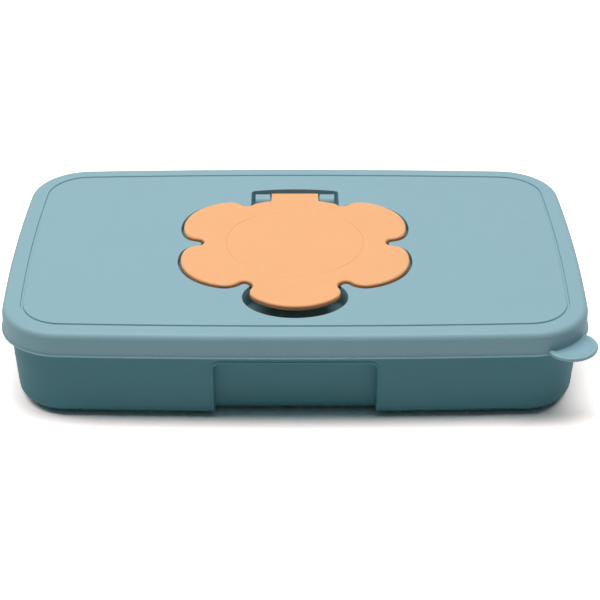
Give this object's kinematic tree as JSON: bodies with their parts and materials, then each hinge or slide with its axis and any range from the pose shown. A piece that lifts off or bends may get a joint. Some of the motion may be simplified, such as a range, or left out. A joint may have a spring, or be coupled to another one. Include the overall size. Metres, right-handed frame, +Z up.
{
  "type": "countertop wipes dispenser",
  "caption": "Countertop wipes dispenser: shallow rounded tray, lift-off lid with a corner pull tab, and a flower-shaped flip cap over a soft slotted opening.",
  "frame": {"origin": "on the surface the feet stand on, at the middle of the tray's footprint", "axes": "+X along the long side to the right, +Y to the rear where the cap's hinge is, +Z up"},
  "size_m": [0.2301, 0.1465, 0.041],
  "materials": {
    "lid_plastic": "satin moulded plastic, pale teal",
    "tray_plastic": "satin moulded plastic, teal",
    "cap_plastic": "satin moulded plastic, soft orange",
    "silicone": "soft translucent white silicone",
    "foot_rubber": "matt non-slip rubber",
    "pin_steel": "drawn stainless steel wire"
  },
  "bodies": {
    "tray": {"tray": "tray_plastic", "foot_front_left": "foot_rubber", "foot_front_right": "foot_rubber", "foot_rear_left": "foot_rubber", "foot_rear_right": "foot_rubber"},
    "lid": {"lid": "lid_plastic", "lid_gasket": "silicone", "hinge_pin": "pin_steel", "aperture_insert": "silicone", "retaining_ring": "lid_plastic"},
    "cap": {"flip_cap": "cap_plastic", "cap_seal": "silicone"}
  },
  "joints": [
    {"name": "lid_lift", "type": "slide", "parent": "tray", "child": "lid", "axis": [0, 0, 1], "range_m": [0, 0.06]},
    {"name": "cap_hinge", "type": "hinge", "parent": "lid", "child": "cap", "pos_m": [0, 0.0432, 0.0375], "axis": [-1, 0, 0], "range_deg": [0, 120]}
  ]
}
